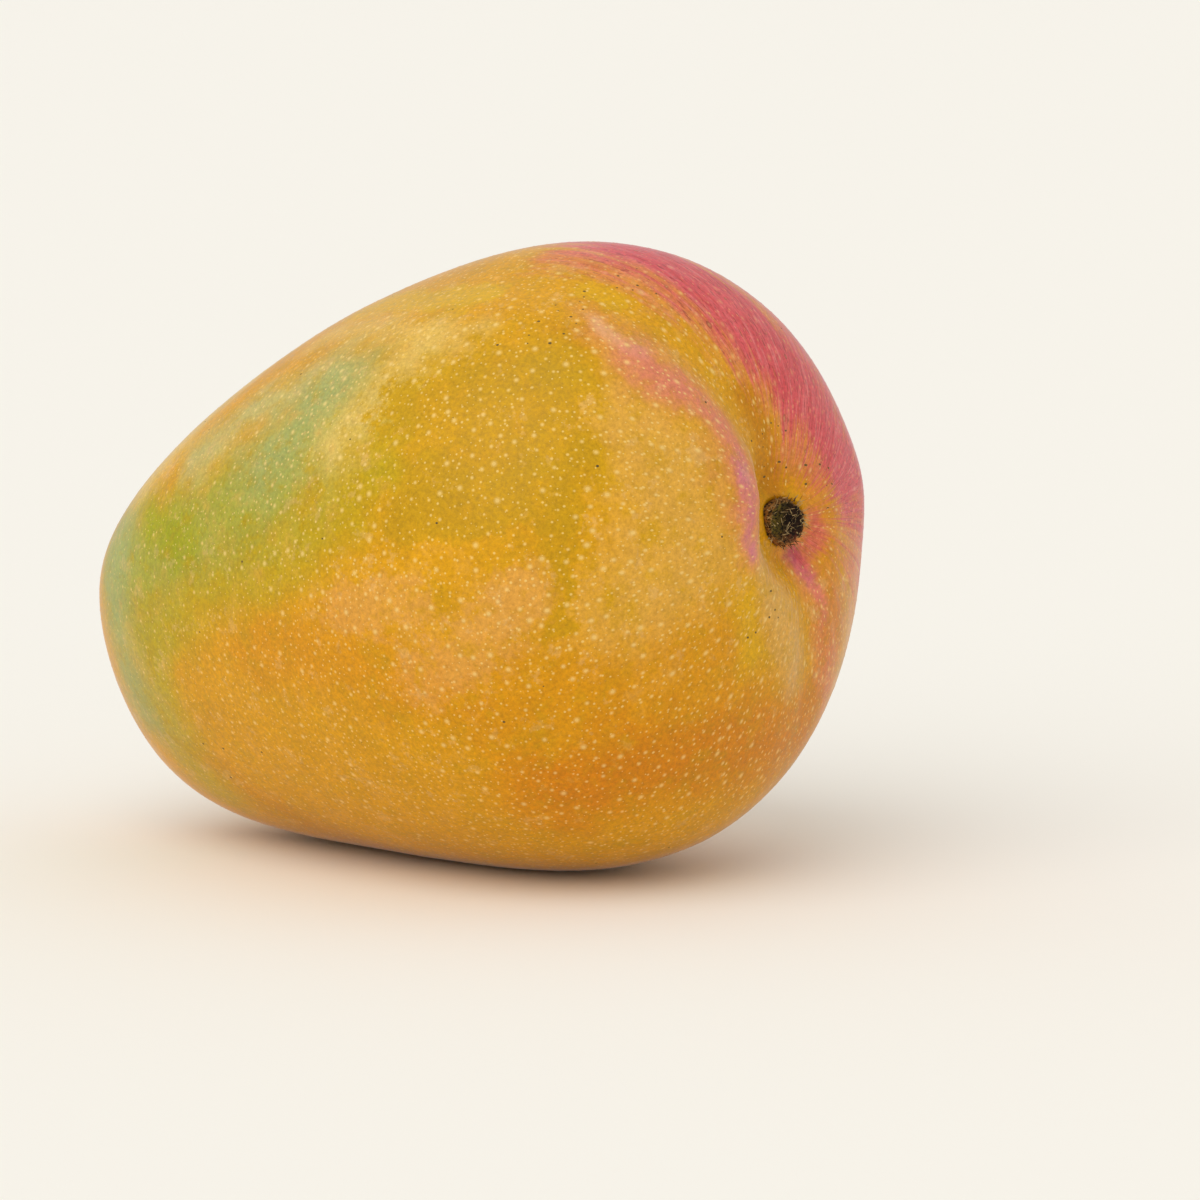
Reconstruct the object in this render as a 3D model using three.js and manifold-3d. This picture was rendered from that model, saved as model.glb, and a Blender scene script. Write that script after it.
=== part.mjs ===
// A ripe mango lying on its side: the whole fruit and the woody stub left of its stalk.
// Millimetres, +Z up. The fruit's long axis runs along X with the stalk end at +X, one broad
// cheek looks along -Y, and the origin is under the middle of the fruit, on the surface it lies on.
import * as THREE from "three";
import { mergeVertices } from "three/addons/utils/BufferGeometryUtils.js";
import Module from "manifold-3d";

const wasm = await Module();
wasm.setup();

// Size of the fruit before its relief: tip to stalk end, belly to back, cheek to cheek
const LENGTH = 129.6;
const HEIGHT = 95.9;
const THICKNESS = 91.4;
const AXIS_TILT = THREE.MathUtils.degToRad(5.1); // the heavy stalk end lifts the long axis a little

// How the section grows and shrinks along the axis, as shares of an ellipsoid's radius
const SHOULDER = 0.286; // the stalk half is fuller than the tip half
const BOTH_ENDS = 0.25; // both ends are blunter than an ellipsoid's

// Back against belly: shares by which the back stands out further than the belly
const BACK_MIDDLE = -0.05;
const BACK_SHOULDER = 0.165;
const BACK_ENDS = -0.19;

// Bends of the whole fruit, in mm
const MIDDLE_RISE = 1.6; // the middle bows up
const STALK_RISE = 5.6; // the stalk pole sits high and the tip low
const STALK_BACK = 3.7; // and the stalk pole sits towards the back cheek

// Relief round the stalk, in mm, measured on the stalk end: v is up and w is towards the back
const BASIN = { depth: 3.8, radius: 10, slope: 0.35 }; // its floor dips towards the front cheek
const GROOVE = { depth: 5.2, angle: -26, offset: 2, front: 7, back: 11, reach: 40, start: -2, fade: 16 };
const LIP = { height: 1.2, offset: -12.5, width: 6.5, reach: 36, start: -2, fade: 12 };
const CREASE = { depth: 2.6, angle: 168, offset: 0, front: 5, back: 5, reach: 22, start: -2, fade: 10 };
const KNOLL = { height: 1, radius: 9, v: 5, w: 28 }; // the back shoulder's blunt corner
const RELIEF_FROM = -0.2; // cosine of the polar angle where the relief starts
const RELIEF_SPAN = 0.5; // and the span over which it comes in

// The small flat that the fruit rests on
const REST_CUT = 0.6;

// Stalk stub: a short woody plug, and the socket that it sits in
const STUB_RADIUS = 4.1;
const STUB_DEPTH = 2.6;
const STUB_HEIGHT = 1.3;
const STUB_SIDES = 28;
const STUB_RAGGED = 0.05; // share of the radius lost between the splinters of the rim
const SOCKET_GAP = 0.3;
const SEAT_ANGLE = 0.065; // polar angle of the scar's rim

// Mesh of the skin: segments round the axis and rings along it, crowded towards the stalk
const SEGMENTS = 72;
const RINGS = 56;
const RING_CROWDING = 1.35;

function smooth(x) {
  const t = THREE.MathUtils.clamp(x, 0, 1);
  return t * t * (3 - 2 * t);
}

function bell(x) {
  return Math.exp(-x * x);
}

// Where a point of the stalk end lies beside a line that leaves the pole: along it and across it
function besideLine(v, w, angle, offset) {
  const turn = THREE.MathUtils.degToRad(angle);
  return {
    along: v * Math.cos(turn) + w * Math.sin(turn),
    across: w * Math.cos(turn) - v * Math.sin(turn) - offset,
  };
}

// A furrow that starts near the pole and dies out along its line
function furrow(v, w, shape) {
  const { along, across } = besideLine(v, w, shape.angle, shape.offset);
  const width = across < 0 ? shape.front : shape.back;
  const rise = smooth((along - shape.start) / shape.fade);
  return -shape.depth * bell(across / width) * rise * bell(Math.max(along, 0) / shape.reach);
}

// The swollen lip of the front cheek, beside the groove
function lip(v, w) {
  const { along, across } = besideLine(v, w, GROOVE.angle, GROOVE.offset);
  const rise = smooth((along - LIP.start) / LIP.fade);
  return LIP.height * bell((across - LIP.offset) / LIP.width) * rise * bell(Math.max(along, 0) / LIP.reach);
}

// The flat-floored hollow that the stalk stands in
function basin(v, w) {
  return -(BASIN.depth - BASIN.slope * w) * bell((v * v + w * w) / BASIN.radius ** 2);
}

function knoll(v, w) {
  return KNOLL.height * bell(Math.hypot(v - KNOLL.v, w - KNOLL.w) / KNOLL.radius);
}

// How far the skin stands out from the plain form, along the line from the middle of the fruit
function relief(v, w, cosine) {
  const sum = basin(v, w) + furrow(v, w, GROOVE) + furrow(v, w, CREASE) + lip(v, w) + knoll(v, w);
  return sum * smooth((cosine - RELIEF_FROM) / RELIEF_SPAN);
}

// One point of the skin: theta is the polar angle from the stalk, phi turns from up to the back
function skinPoint(theta, phi) {
  const c = Math.cos(theta);
  const s = Math.sin(theta);
  const up = Math.cos(phi);
  const back = Math.sin(phi);
  const girth = s * (1 + SHOULDER * c + BOTH_ENDS * c * c);
  const lean = 1 + (BACK_MIDDLE + BACK_SHOULDER * c + BACK_ENDS * c * c) * up;
  const v = (HEIGHT / 2) * girth * up * lean;
  const w = (THICKNESS / 2) * girth * back;
  const out = relief(v, w, c);
  const point = new THREE.Vector3(
    (LENGTH / 2 + out) * c,
    w + out * s * back + STALK_BACK * c ** 3,
    v + out * s * up + MIDDLE_RISE * s * s + STALK_RISE * c ** 3,
  );
  return point.applyAxisAngle(new THREE.Vector3(0, 1, 0), -AXIS_TILT);
}

// The skin as a sphere whose every vertex is moved to its place on the fruit
function skinGeometry() {
  const geometry = new THREE.SphereGeometry(1, SEGMENTS, RINGS);
  const position = geometry.getAttribute("position");
  const vertex = new THREE.Vector3();
  for (let i = 0; i < position.count; i++) {
    vertex.fromBufferAttribute(position, i);
    const ring = Math.acos(THREE.MathUtils.clamp(vertex.y, -1, 1)) / Math.PI;
    const theta = Math.PI * ring ** RING_CROWDING;
    const phi = Math.atan2(-vertex.x, vertex.z);
    position.setXYZ(i, ...skinPoint(theta, phi).toArray());
  }
  return geometry;
}

// The place of the stalk on the skin: the middle of the scar, and a turn that takes +Y outwards
function stalkSeat() {
  const rim = [0, 0.5, 1, 1.5].map((turn) => skinPoint(SEAT_ANGLE, turn * Math.PI));
  const middle = new THREE.Vector3();
  rim.forEach((point) => middle.addScaledVector(point, 1 / rim.length));
  const up = rim[0].clone().sub(rim[2]);
  const back = rim[1].clone().sub(rim[3]);
  const outward = back.cross(up).normalize();
  const turn = new THREE.Quaternion().setFromUnitVectors(new THREE.Vector3(0, 1, 0), outward);
  return { middle, turn };
}

function toSolid(geometry) {
  const bare = geometry.clone();
  bare.deleteAttribute("normal");
  bare.deleteAttribute("uv");
  const welded = mergeVertices(bare, 1e-4);
  return new wasm.Manifold(new wasm.Mesh({
    numProp: 3,
    vertProperties: new Float32Array(welded.getAttribute("position").array),
    triVerts: new Uint32Array(welded.getIndex().array),
  }));
}

function toGeometry(solid) {
  const mesh = solid.getMesh();
  const geometry = new THREE.BufferGeometry();
  geometry.setAttribute("position", new THREE.BufferAttribute(mesh.vertProperties, 3));
  geometry.setIndex(new THREE.BufferAttribute(mesh.triVerts, 1));
  geometry.computeVertexNormals();
  return geometry;
}

// A slab below the fruit whose top face trims the lowest point to a flat
function restSlab(lowest) {
  const slab = new THREE.BoxGeometry(LENGTH, LENGTH, HEIGHT);
  slab.translate(0, 0, lowest + REST_CUT - HEIGHT / 2);
  return slab;
}

function socketPlug(seat) {
  const radius = STUB_RADIUS + SOCKET_GAP;
  const bottom = -STUB_DEPTH - SOCKET_GAP;
  const top = BASIN.radius;
  const plug = new THREE.CylinderGeometry(radius, radius, top - bottom, STUB_SIDES);
  plug.translate(0, (top + bottom) / 2, 0);
  plug.applyQuaternion(seat.turn);
  plug.translate(...seat.middle.toArray());
  return plug;
}

function makeFruit(seat) {
  const skin = skinGeometry();
  skin.computeBoundingBox();
  const solid = toSolid(skin)
    .subtract(toSolid(restSlab(skin.boundingBox.min.z)))
    .subtract(toSolid(socketPlug(seat)));
  const fruit = new THREE.Mesh(toGeometry(solid), skinMaterial());
  fruit.name = "fruit";
  return fruit;
}

// A turned plug with a dished, splintered top
function makeStub(seat) {
  const profile = [
    [0, -STUB_DEPTH],
    [STUB_RADIUS * 0.85, -STUB_DEPTH],
    [STUB_RADIUS, -STUB_DEPTH * 0.6],
    [STUB_RADIUS, STUB_HEIGHT * 0.45],
    [STUB_RADIUS * 0.93, STUB_HEIGHT],
    [STUB_RADIUS * 0.78, STUB_HEIGHT * 0.85],
    [STUB_RADIUS * 0.4, STUB_HEIGHT * 0.5],
    [0, STUB_HEIGHT * 0.6],
  ].map(([radius, height]) => new THREE.Vector2(radius, height));
  const plug = new THREE.LatheGeometry(profile, STUB_SIDES);
  const position = plug.getAttribute("position");
  for (let i = 0; i < position.count; i++) {
    const x = position.getX(i);
    const z = position.getZ(i);
    const angle = Math.atan2(x, z);
    const notch = 0.5 + 0.25 * Math.sin(5 * angle + 1) + 0.25 * Math.cos(9 * angle);
    const keep = 1 - STUB_RAGGED * notch;
    position.setX(i, x * keep);
    position.setZ(i, z * keep);
  }
  const stub = new THREE.Mesh(toGeometry(toSolid(plug)), stubMaterial());
  stub.name = "stem_stub";
  stub.position.copy(seat.middle);
  stub.quaternion.copy(seat.turn);
  return stub;
}

function skinMaterial() {
  return new THREE.MeshStandardMaterial({ color: 0xdba63c, roughness: 0.42, metalness: 0 });
}

function stubMaterial() {
  return new THREE.MeshStandardMaterial({ color: 0x3b2a1c, roughness: 0.85, metalness: 0 });
}

// Sets the fruit on the surface, with its middle above the origin
function standOnOrigin(group) {
  const box = new THREE.Box3().setFromObject(group, true);
  const middle = box.getCenter(new THREE.Vector3());
  group.position.set(-middle.x, -middle.y, -box.min.z);
  return group;
}

const seat = stalkSeat();
const mango = new THREE.Group();
mango.add(makeFruit(seat), makeStub(seat));

export default standOnOrigin(mango);
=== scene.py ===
import bpy
import math
import numpy as np
from functools import partial
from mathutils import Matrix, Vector, noise
from mathutils.bvhtree import BVHTree


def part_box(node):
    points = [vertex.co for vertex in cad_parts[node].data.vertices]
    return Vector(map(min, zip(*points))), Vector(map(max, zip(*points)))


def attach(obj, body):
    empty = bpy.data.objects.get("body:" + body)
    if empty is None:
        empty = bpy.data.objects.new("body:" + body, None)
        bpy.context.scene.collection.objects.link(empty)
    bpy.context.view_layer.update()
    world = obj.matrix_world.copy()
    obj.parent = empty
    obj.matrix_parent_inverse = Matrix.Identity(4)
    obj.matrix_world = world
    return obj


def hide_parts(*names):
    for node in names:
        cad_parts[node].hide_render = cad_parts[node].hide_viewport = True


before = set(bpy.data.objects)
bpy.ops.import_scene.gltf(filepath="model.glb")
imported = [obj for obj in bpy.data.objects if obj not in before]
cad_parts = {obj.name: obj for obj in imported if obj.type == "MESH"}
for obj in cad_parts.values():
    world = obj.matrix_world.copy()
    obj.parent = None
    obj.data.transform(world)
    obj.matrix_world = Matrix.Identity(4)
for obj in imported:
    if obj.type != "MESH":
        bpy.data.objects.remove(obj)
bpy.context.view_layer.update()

mm = 0.001  # the scene is in metres, the trees below work in millimetres


# sRGB hex to the linear colour that the nodes want
def linearColour(hexColour):
    parts = [int(hexColour[i:i + 2], 16) / 255 for i in (1, 3, 5)]
    return (*[p / 12.92 if p <= 0.04045 else ((p + 0.055) / 1.055) ** 2.4 for p in parts], 1.0)


# Plugs a socket, a node's first output or a plain value into one input
def plug(tree, socket, link):
    if isinstance(link, bpy.types.Node):
        link = next(s for s in link.outputs if s.enabled)
    if isinstance(link, bpy.types.NodeSocket):
        tree.links.new(link, socket)
    elif link is not None:
        socket.default_value = link


# What a node calls its mode, where that isn't data_type
nodeModes = {"Math": "operation", "VectorMath": "operation", "MapRange": "interpolation_type",
             "TexNoise": "noise_dimensions", "VectorRotate": "rotation_type"}


# Adds a node: links go to its inputs in order, None leaves one alone, values go to inputs by name.
# A kind may leave out its ShaderNode and may end in a slash and its mode: "Math/ADD", "Mix/RGBA".
def addNode(tree, kind, *links, values={}, **settings):
    kind, slash, mode = kind.partition("/")
    node = tree.nodes.new(kind if "Node" in kind else "ShaderNode" + kind)
    if mode:
        setattr(node, nodeModes.get(kind, "data_type"), mode)
    for name, setting in settings.items():
        setattr(node, name, setting)
    for socket, link in zip([s for s in node.inputs if s.enabled], links):
        plug(tree, socket, link)
    for name, link in values.items():
        plug(tree, next(s for s in node.inputs if s.enabled and s.name == name), link)
    return node


# A node group with named inputs (name: default or socket kind) and outputs (name: socket kind).
# Gives back the tree, addNode for it, its inputs and its outputs.
def newGroup(name, kind, inputs, outputs={"Geometry": "NodeSocketGeometry"}):
    tree = bpy.data.node_groups.new(name, kind)
    socketKinds = {float: "NodeSocketFloat", int: "NodeSocketInt", bool: "NodeSocketBool",
                   tuple: "NodeSocketVector"}
    for label, default in inputs.items():
        socketKind = socketKinds.get(type(default), default)
        socket = tree.interface.new_socket(name=label, in_out="INPUT", socket_type=socketKind)
        if socketKind != default:
            socket.default_value = default
    for label, socketKind in outputs.items():
        tree.interface.new_socket(name=label, in_out="OUTPUT", socket_type=socketKind)
    given, result = tree.nodes.new("NodeGroupInput").outputs, tree.nodes.new("NodeGroupOutput").inputs
    return tree, partial(addNode, tree), given, result


# An empty material, and addNode for it
def newMaterial(name):
    material = bpy.data.materials.new(name)
    material.use_nodes = True
    material.node_tree.nodes.clear()
    return material, partial(addNode, material.node_tree)


# Runs a tree on an empty mesh, or on another piece's mesh, and keeps the plain result
def grow(name, tree, settings, base=None):
    holder = bpy.data.objects.new(name + "_holder", base or bpy.data.meshes.new(name + "_base"))
    bpy.context.scene.collection.objects.link(holder)
    modifier = holder.modifiers.new("grow", "NODES")
    modifier.node_group = tree
    for item in tree.interface.items_tree:
        if item.item_type == "SOCKET" and item.in_out == "INPUT" and item.name in settings:
            modifier[item.identifier] = settings[item.name]
    holder.update_tag()
    bpy.context.view_layer.update()
    graph = bpy.context.evaluated_depsgraph_get()
    mesh = bpy.data.meshes.new_from_object(holder.evaluated_get(graph), depsgraph=graph)
    bpy.data.objects.remove(holder)
    mesh.name = name
    piece = bpy.data.objects.new(name, mesh)
    bpy.context.scene.collection.objects.link(piece)
    print(name, len(mesh.vertices), "vertices", len(mesh.polygons), "faces")
    return piece


# Camera, at the photo's angle, turned towards the middle of the fruit
view = {"azimuth": 34.4, "elevation": 7.3, "distance": 0.9, "pixelsPerMm": 6.089,
        "middleX": 456.7, "middleY": 564.4, "frame": 1200, "sensor": 36.0,
        "target": (0.0, -0.0002, 0.048)}


def makeCamera():
    azimuth, elevation = math.radians(view["azimuth"]), math.radians(view["elevation"])
    back = Vector((math.sin(azimuth) * math.cos(elevation), -math.cos(azimuth) * math.cos(elevation),
                   math.sin(elevation)))
    data = bpy.data.cameras.new("photoView")
    data.sensor_width = view["sensor"]
    data.lens = view["pixelsPerMm"] * view["distance"] / mm * view["sensor"] / view["frame"]
    data.shift_x = -(view["middleX"] - view["frame"] / 2) / view["frame"]
    data.shift_y = (view["middleY"] - view["frame"] / 2) / view["frame"]
    camera = bpy.data.objects.new("photoView", data)
    camera.location = Vector(view["target"]) + back * view["distance"]
    camera.rotation_euler = (-back).to_track_quat("-Z", "Y").to_euler()
    bpy.context.scene.collection.objects.link(camera)
    bpy.context.scene.camera = camera


makeCamera()
print("camera ready")


# Skin: the whole form as one rule, in mm. Up, back and along are measured before the tilt.
fruitForm = {
    "Length": 129.6, "Height": 95.9, "Thickness": 91.4, "Axis Tilt": 5.1,
    "Shoulder": 0.286, "Both Ends": 0.25,
    "Back Middle": -0.05, "Back Shoulder": 0.165, "Back Ends": -0.19,
    "Middle Rise": 1.6, "Stalk Rise": 5.6, "Stalk Back": 3.7,
    "Basin Depth": 3.8, "Basin Radius": 10.0, "Basin Slope": 0.35,
    "Knoll Height": 1.0, "Knoll Radius": 9.0, "Knoll Up": 5.0, "Knoll Back": 28.0,
    "Relief From": -0.2, "Relief Span": 0.5,
    "Rest Cut": 0.6, "Segments": 372, "Rings": 264, "Ring Crowding": 1.35,
    "Dent Depth": 0.3, "Dent Scale": 0.035, "Seed": 3.0,
    "Wrinkle Depth": 0.28, "Wrinkle Pattern": (7.0, 7.0, 22.0),  # fade in, then out, away from the stalk
    "Wrinkle Start": 5.0, "Wrinkle Full": 7.5, "Wrinkle Fall": 9.0, "Wrinkle End": 17.0,
    "Fold Depth": 0.2, "Fold Pattern": (9.0, 9.0, 5.0),  # fade in below the stalk, then out away from it
    "Fold Start": 0.0, "Fold Full": -9.0, "Fold Fall": 14.0, "Fold End": 40.0,
    "Pit Floor": 3.3, "Pit Edge": 4.0, "Pit Depth": 1.5,
    "Rim Radius": 4.4, "Rim Width": 0.8, "Rim Height": 0.35,
    "Stalk Side": 0.3,  # cosine of the polar angle from which the stalk's own relief is full
}
furrows = {  # angle 0 runs up from the stalk, positive towards the back; sizes in mm
    "groove": {"Depth": 5.2, "Angle": -26.0, "Offset": 2.0, "Front": 7.0, "Back": 11.0,
               "Reach": 40.0, "Start": -2.0, "Fade": 16.0},
    "lip": {"Depth": -1.2, "Angle": -26.0, "Offset": -10.5, "Front": 6.5, "Back": 6.5,
            "Reach": 36.0, "Start": -2.0, "Fade": 12.0},
    "crease": {"Depth": 2.6, "Angle": 168.0, "Offset": 0.0, "Front": 5.0, "Back": 5.0,
               "Reach": 22.0, "Start": -2.0, "Fade": 10.0},
}


# exp(-x squared), the soft hill that every dent and swelling is made of
def bellGroup():
    tree, add, given, result = newGroup("Bell", "GeometryNodeTree", {"X": 0.0}, {"Bell": "NodeSocketFloat"})
    square = add("Math/MULTIPLY", given["X"], given["X"])
    plug(tree, result["Bell"], add("Math/EXPONENT", add("Math/MULTIPLY", square, -1.0)))
    return tree


# A furrow that leaves the stalk in a straight line and dies out along it
def furrowGroup(bell):
    tree, add, given, result = newGroup("Furrow", "GeometryNodeTree", {
        "Up": 0.0, "Along Back": 0.0, "Depth": 1.0, "Angle": 0.0, "Offset": 0.0, "Front": 5.0, "Back": 5.0,
        "Reach": 20.0, "Start": 0.0, "Fade": 10.0}, {"Height": "NodeSocketFloat"})
    angle = add("Math/RADIANS", given["Angle"])
    cosine, sine = add("Math/COSINE", angle), add("Math/SINE", angle)
    along = add("Math/MULTIPLY_ADD", given["Up"], cosine, add("Math/MULTIPLY", given["Along Back"], sine))
    upPart = add("Math/MULTIPLY_ADD", given["Up"], sine, given["Offset"])
    sideways = add("Math/MULTIPLY", given["Along Back"], cosine)
    across = add("Math/SUBTRACT", sideways, upPart)
    width = add("Mix/FLOAT", add("Math/GREATER_THAN", across, 0.0), given["Front"], given["Back"])
    wall = add("GeometryNodeGroup", add("Math/DIVIDE", across, width), node_tree=bell)
    fadeEnd = add("Math/ADD", given["Start"], given["Fade"])
    rise = add("MapRange/SMOOTHSTEP", along, given["Start"], fadeEnd, 0.0, 1.0)
    outward = add("Math/MAXIMUM", along, 0.0)
    end = add("GeometryNodeGroup", add("Math/DIVIDE", outward, given["Reach"]), node_tree=bell)
    risen = add("Math/MULTIPLY", add("Math/MULTIPLY", wall, end), rise)
    minus = add("Math/MULTIPLY", given["Depth"], -1.0)
    plug(tree, result["Height"], add("Math/MULTIPLY", risen, minus))
    return tree


def skinTree():
    tree, add, given, result = newGroup("Mango Skin", "GeometryNodeTree", {
        "Peel": "NodeSocketMaterial", **fruitForm})
    bell = bellGroup()
    furrow = furrowGroup(bell)

    # Every point of a ball knows its turn round the axis and its way from stalk to tip
    ball = add("GeometryNodeMeshUVSphere", given["Segments"], given["Rings"], 1.0)
    point = add("SeparateXYZ", add("GeometryNodeInputPosition")).outputs
    around = add("VectorMath/NORMALIZE", add("CombineXYZ", point["X"], point["Y"], 0.0))
    turn = add("SeparateXYZ", around).outputs
    upShare = turn["X"]
    backShare = add("Math/MULTIPLY", turn["Y"], -1.0)
    ring = add("Math/DIVIDE", add("Math/ARCCOSINE", point["Z"]), math.pi)
    theta = add("Math/MULTIPLY", add("Math/POWER", ring, given["Ring Crowding"]), math.pi)
    cosine, sine = add("Math/COSINE", theta), add("Math/SINE", theta)
    cosine2 = add("Math/MULTIPLY", cosine, cosine)
    cosine3 = add("Math/MULTIPLY", cosine2, cosine)

    # Plain form: how the section swells along the axis and leans from belly to back
    endSwell = add("Math/MULTIPLY_ADD", given["Both Ends"], cosine2, 1.0)
    girth = add("Math/MULTIPLY", sine, add("Math/MULTIPLY_ADD", given["Shoulder"], cosine, endSwell))
    leanEnds = add("Math/MULTIPLY_ADD", given["Back Ends"], cosine2, given["Back Middle"])
    leanSum = add("Math/MULTIPLY_ADD", given["Back Shoulder"], cosine, leanEnds)
    lean = add("Math/MULTIPLY_ADD", leanSum, upShare, 1.0)
    halfUp = add("Math/MULTIPLY", add("Math/MULTIPLY", given["Height"], 0.5), girth)
    halfBack = add("Math/MULTIPLY", add("Math/MULTIPLY", given["Thickness"], 0.5), girth)
    up = add("Math/MULTIPLY", add("Math/MULTIPLY", halfUp, upShare), lean)
    back = add("Math/MULTIPLY", halfBack, backShare)

    # Relief of the stalk end: hollow, groove, lip, crease and the back shoulder's corner
    reach2 = add("Math/MULTIPLY_ADD", up, up, add("Math/MULTIPLY", back, back))
    basin2 = add("Math/MULTIPLY", given["Basin Radius"], given["Basin Radius"])
    hollowShape = add("GeometryNodeGroup", add("Math/DIVIDE", reach2, basin2), node_tree=bell)
    hollowSlope = add("Math/MULTIPLY", given["Basin Slope"], back)
    hollowDepth = add("Math/SUBTRACT", hollowSlope, given["Basin Depth"])
    relief = add("Math/MULTIPLY", hollowDepth, hollowShape)
    for name, shape in furrows.items():
        cut = add("GeometryNodeGroup", node_tree=furrow, label=name,
                  values={"Up": up, "Along Back": back, **shape})
        relief = add("Math/ADD", relief, cut)
    fromKnollUp = add("Math/SUBTRACT", up, given["Knoll Up"])
    fromKnollBack = add("Math/SUBTRACT", back, given["Knoll Back"])
    knollBack2 = add("Math/MULTIPLY", fromKnollBack, fromKnollBack)
    knollGap = add("Math/SQRT", add("Math/MULTIPLY_ADD", fromKnollUp, fromKnollUp, knollBack2))
    knoll = add("GeometryNodeGroup", add("Math/DIVIDE", knollGap, given["Knoll Radius"]), node_tree=bell)
    relief = add("Math/MULTIPLY_ADD", given["Knoll Height"], knoll, relief)
    reliefFull = add("Math/ADD", given["Relief From"], given["Relief Span"])
    stalkEnd = add("MapRange/SMOOTHSTEP", cosine, given["Relief From"], reliefFull, 0.0, 1.0)
    out = add("Math/MULTIPLY", relief, stalkEnd)

    # Place in the fruit's own axes, then the tilt
    alongAxis = add("Math/MULTIPLY", add("Math/MULTIPLY_ADD", given["Length"], 0.5, out), cosine)
    outSide = add("Math/MULTIPLY", out, sine)
    toBack = add("Math/MULTIPLY_ADD", outSide, backShare, back)
    toBack = add("Math/MULTIPLY_ADD", given["Stalk Back"], cosine3, toBack)
    toUp = add("Math/MULTIPLY_ADD", outSide, upShare, up)
    toUp = add("Math/MULTIPLY_ADD", given["Middle Rise"], add("Math/MULTIPLY", sine, sine), toUp)
    toUp = add("Math/MULTIPLY_ADD", given["Stalk Rise"], cosine3, toUp)
    straight = add("CombineXYZ", alongAxis, toBack, toUp)
    tilt = add("Math/MULTIPLY", add("Math/RADIANS", given["Axis Tilt"]), -1.0)
    tilted = add("VectorRotate/Y_AXIS", straight, (0, 0, 0), tilt)

    # What the finer pieces and the material need to know, kept before the points move
    noted = ball
    for name, place in {"stalkPlace": (up, back, cosine), "meridian": (upShare, backShare, ring)}.items():
        noted = add("GeometryNodeStoreNamedAttribute/FLOAT_VECTOR", noted,
                    values={"Name": name, "Value": add("CombineXYZ", *place)})
    formed = add("GeometryNodeSetPosition", noted, values={"Position": tilted})

    # Set down on the floor with its middle over the origin
    box = add("GeometryNodeBoundBox", formed).outputs
    halfBox = add("VectorMath/MULTIPLY", add("VectorMath/ADD", box["Min"], box["Max"]), (-0.5, -0.5, 0.0))
    lowest = add("SeparateXYZ", box["Min"]).outputs["Z"]
    lift = add("Math/MULTIPLY_ADD", lowest, -1.0, add("Math/MULTIPLY", given["Rest Cut"], -1.0))
    shift = add("VectorMath/ADD", halfBox, add("CombineXYZ", 0.0, 0.0, lift))
    standing = add("GeometryNodeSetPosition", formed, values={"Offset": shift})

    # Low unevenness all over, wrinkles that run into the stalk and folds below it
    stalkPlace = add("GeometryNodeInputNamedAttribute/FLOAT_VECTOR", "stalkPlace")
    meridian = add("GeometryNodeInputNamedAttribute/FLOAT_VECTOR", "meridian")
    kept = add("SeparateXYZ", stalkPlace).outputs
    fromStalk = add("VectorMath/LENGTH", add("VectorMath/MULTIPLY", stalkPlace, (1.0, 1.0, 0.0)))
    dents = add("TexNoise/4D", add("GeometryNodeInputPosition"), values={
        "W": given["Seed"], "Scale": given["Dent Scale"], "Detail": 2.0, "Roughness": 0.45})
    dentSwing = add("Math/MULTIPLY", given["Dent Depth"], 2.0)
    dentHeight = add("Math/MULTIPLY", add("Math/SUBTRACT", dents, 0.5), dentSwing)
    stalkFine = 0.0
    for name, gap, seedStep, detail, roughness in (("Wrinkle", fromStalk, 0.0, 1.5, 0.5),
                                                   ("Fold", kept["X"], 5.0, 1.0, 0.4)):
        pattern = add("VectorMath/MULTIPLY", meridian, given[name + " Pattern"])
        waves = add("TexNoise/4D", pattern, values={
            "W": add("Math/ADD", given["Seed"], seedStep), "Scale": 1.0, "Detail": detail,
            "Roughness": roughness})
        fadeIn = add("MapRange/SMOOTHSTEP", gap, given[name + " Start"], given[name + " Full"], 0.0, 1.0)
        fadeOut = add("MapRange/SMOOTHSTEP", fromStalk, given[name + " Fall"], given[name + " End"], 1.0, 0.0)
        faded = add("Math/MULTIPLY", add("Math/SUBTRACT", waves, 0.5), add("Math/MULTIPLY", fadeIn, fadeOut))
        swing = add("Math/MULTIPLY", given[name + " Depth"], 2.0)
        stalkFine = add("Math/MULTIPLY_ADD", faded, swing, stalkFine)

    # The pit of the stalk's scar, with a slightly raised rim
    pit = add("MapRange/SMOOTHSTEP", fromStalk, given["Pit Floor"], given["Pit Edge"], -1.0, 0.0)
    stalkFine = add("Math/MULTIPLY_ADD", pit, given["Pit Depth"], stalkFine)
    fromRim = add("Math/DIVIDE", add("Math/SUBTRACT", fromStalk, given["Rim Radius"]), given["Rim Width"])
    rimShape = add("GeometryNodeGroup", fromRim, node_tree=bell)
    stalkFine = add("Math/MULTIPLY_ADD", rimShape, given["Rim Height"], stalkFine)
    stalkSide = add("MapRange/SMOOTHSTEP", kept["Z"], 0.0, given["Stalk Side"], 0.0, 1.0)
    fine = add("Math/MULTIPLY_ADD", stalkFine, stalkSide, dentHeight)
    push = add("VectorMath/SCALE", add("GeometryNodeInputNormal"), values={"Scale": fine})
    detailed = add("GeometryNodeSetPosition", standing, values={"Offset": push})

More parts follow.
